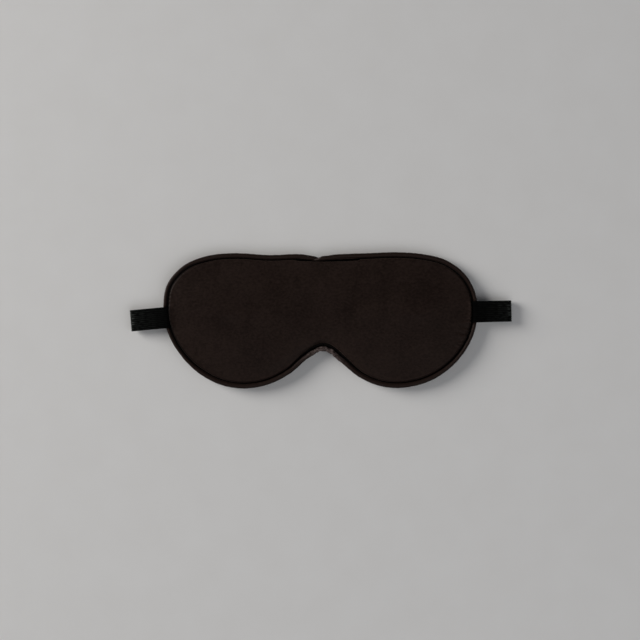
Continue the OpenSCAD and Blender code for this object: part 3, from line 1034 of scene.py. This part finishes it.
def plastic_material():
    """Moulded black plastic with handling scuffs."""
    dark, light = (0.006, 0.006, 0.0065), (0.012, 0.012, 0.013)
    mat, tree, shader = new_material("black_plastic", dark, 0.35, Specular_IOR_Level=0.35)
    scuffs = noise(tree, object_place(tree, (1000, 300, 1000)), 0.9, 6.0, 0.7)
    colour_by(tree, shader, scuffs, dark, light)
    roughen_by(tree, shader, scuffs, 0.28, 0.44)
    bump_chain(tree, shader, (scuffs, 0.06, 0.00003))
    return mat


def floor_material():
    mat, tree, shader = new_material("pale_floor", (0.72, 0.71, 0.70), 0.75)
    grain = noise(tree, object_place(tree, (40, 40, 40)), 1.0, 5.0)
    colour_by(tree, shader, grain, (0.70, 0.69, 0.68), (0.74, 0.735, 0.73))
    return mat


def finish(obj, mat):
    obj.data.materials.clear()
    obj.data.materials.append(mat)
    return obj


# --- Assembly ---

SATIN = satin_material("front_satin", (0.0075, 0.0041, 0.0032), (0.0170, 0.0103, 0.0082), 0.46)
LINING = satin_material("back_satin", (0.0120, 0.0072, 0.0056), (0.0175, 0.0110, 0.0088), 0.5)
PIPING = piping_material()
ELASTIC = elastic_material()
THREAD = thread_material()
WADDING = fibre_material("wadding_fibre", (0.62, 0.62, 0.60), (0.86, 0.86, 0.84), 0.9, 1.6)
CORE = fibre_material("core_foam", (0.018, 0.018, 0.020), (0.035, 0.035, 0.038), 0.8, 2.4)
CORD = fibre_material("cotton_cord", (0.55, 0.52, 0.46), (0.80, 0.77, 0.70), 0.85, 1.2)
PLASTIC = plastic_material()


def make_body():
    """The two panels and the padding between them."""
    swell = {}
    for side, pressure, most in ((1, 3.0, 0.8), (-1, 2.0, 0.5)):
        start = panel_start(side)
        swell[side] = inflate(start, side, pressure, most)
    for name, side, mat, slot, cad, rests in (
        ("satin_front", 1, SATIN, "satin", "front_panel", "wadding_front"),
        ("satin_back", -1, LINING, "lining", "back_panel", "wadding_back"),
    ):
        panel = finish(fine_panel(name, swell[side], side, 150 - 50 * side), mat)
        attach(panel, "mask")
        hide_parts(cad)

    # The padding follows the two panels, from a little inside the seam, and keeps clear of both.
    front, back = (swell[side][PAD_FROM:] for side in (1, -1))
    plan = front[..., :2]
    rolled = shoulder(np.linalg.norm(plan - swell[1][0, :, :2], axis=-1))
    top, bottom = front[..., 2] + rolled - 0.9, clear_of_strap(*np.moveaxis(back, -1, 0)) + 0.5
    middle, core_half, gap = (top + bottom) / 2, 0.35, 0.05
    layers = (
        ("wadding_front", "front_wadding", middle + (core_half + gap), top, WADDING, "wadding", 0.7),
        ("foam_core", "blackout_core", middle - core_half, middle + core_half, CORE, "core", 0.9),
        ("wadding_back", "back_wadding", bottom, middle - (core_half + gap), WADDING, "wadding", 0.5),
    )
    for seed, (name, cad, low, high, mat, slot, fill) in enumerate(layers):
        layer = finish(padded_layer(name, with_height(plan, low), with_height(plan, high), seed), mat)
        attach(layer, "mask")
        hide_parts(cad)


def make_edge():
    """The piping, its cord, and the two seams beside it."""
    for name, cad, build, mat, slot in (
        ("piping", "piping_cover", piping, PIPING, "piping"),
        ("filler_cord", "piping_cord", cord_mesh, CORD, "cord"),
        ("seam_thread", "perimeter_stitching", seam_stitches, THREAD, "thread"),
        ("hand_stitches", "closing_stitching", gap_stitches, THREAD, "thread"),
    ):
        piece = finish(build(name), mat)
        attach(piece, "mask")
        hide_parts(cad)


def finish_cad_nodes():
    """The parts that stay as the frame has them: the rows of hidden stitches, the ring and the slider."""
    for cad in ("anchor_stitching_left", "anchor_stitching_right",
                "ring_loop_stitching", "slider_loop_stitching"):
        finish(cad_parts[cad], THREAD)
    for cad in ("ring", "slider"):
        finish(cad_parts[cad], PLASTIC)
        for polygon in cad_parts[cad].data.polygons:
            polygon.use_smooth = True


def make_stage():
    """The floor goes down with the ring, so the opened loop stands on it."""
    reach = 3.0
    corners = [(x * reach, y * reach, 0) for x, y in ((-1, -1), (1, -1), (1, 1), (-1, 1))]
    mesh = bpy.data.meshes.new("floor")
    mesh.from_pydata(corners, [], [(0, 1, 2, 3)])
    floor = linked("floor", mesh)
    floor.location.z = -0.0003
    finish(floor, floor_material())
    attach(floor, "ring")


def area_light(name, place, size, power, colour):
    """A round soft light at place, in metres, that points at the mask."""
    light = bpy.data.lights.new(name, "AREA")
    light.shape, light.size, light.energy, light.color = "DISK", size, power, colour
    obj = linked(name, light)
    obj.location = place
    obj.rotation_euler = (-Vector(place)).to_track_quat("-Z", "Y").to_euler()


def make_light_and_camera():
    world = bpy.data.worlds.new("studio")
    world.use_nodes = True
    background = world.node_tree.nodes["Background"]
    background.inputs["Color"].default_value = (0.93, 0.95, 1.0, 1)
    background.inputs["Strength"].default_value = 0.10
    bpy.context.scene.world = world
    area_light("key", (-2.1, 0.8, 1.15), 1.5, 53, (1.0, 0.98, 0.95))
    area_light("fill_right", (1.5, -0.6, 1.2), 1.6, 5.5, (0.95, 0.97, 1.0))
    area_light("fill_low", (0.2, -1.1, 1.8), 1.8, 7.5, (0.97, 0.98, 1.0))
    # The camera looks straight down and sees view_width of the plane of the seam.
    lens, sensor, view_width = 85.0, 36.0, 0.4096
    camera = bpy.data.cameras.new("camera")
    camera.lens, camera.sensor_width = lens, sensor
    camera.clip_start, camera.clip_end = 0.05, 20
    obj = linked("camera", camera)
    obj.location = (-0.0007, 0.0002, SEAM_Z * MM + view_width * lens / sensor)
    bpy.context.scene.camera = obj
    bpy.context.scene.view_settings.view_transform = "Standard"


make_body()
make_edge()
for stretch in strap_pieces():
    finish(stretch, ELASTIC)
finish_cad_nodes()
make_stage()
make_light_and_camera()
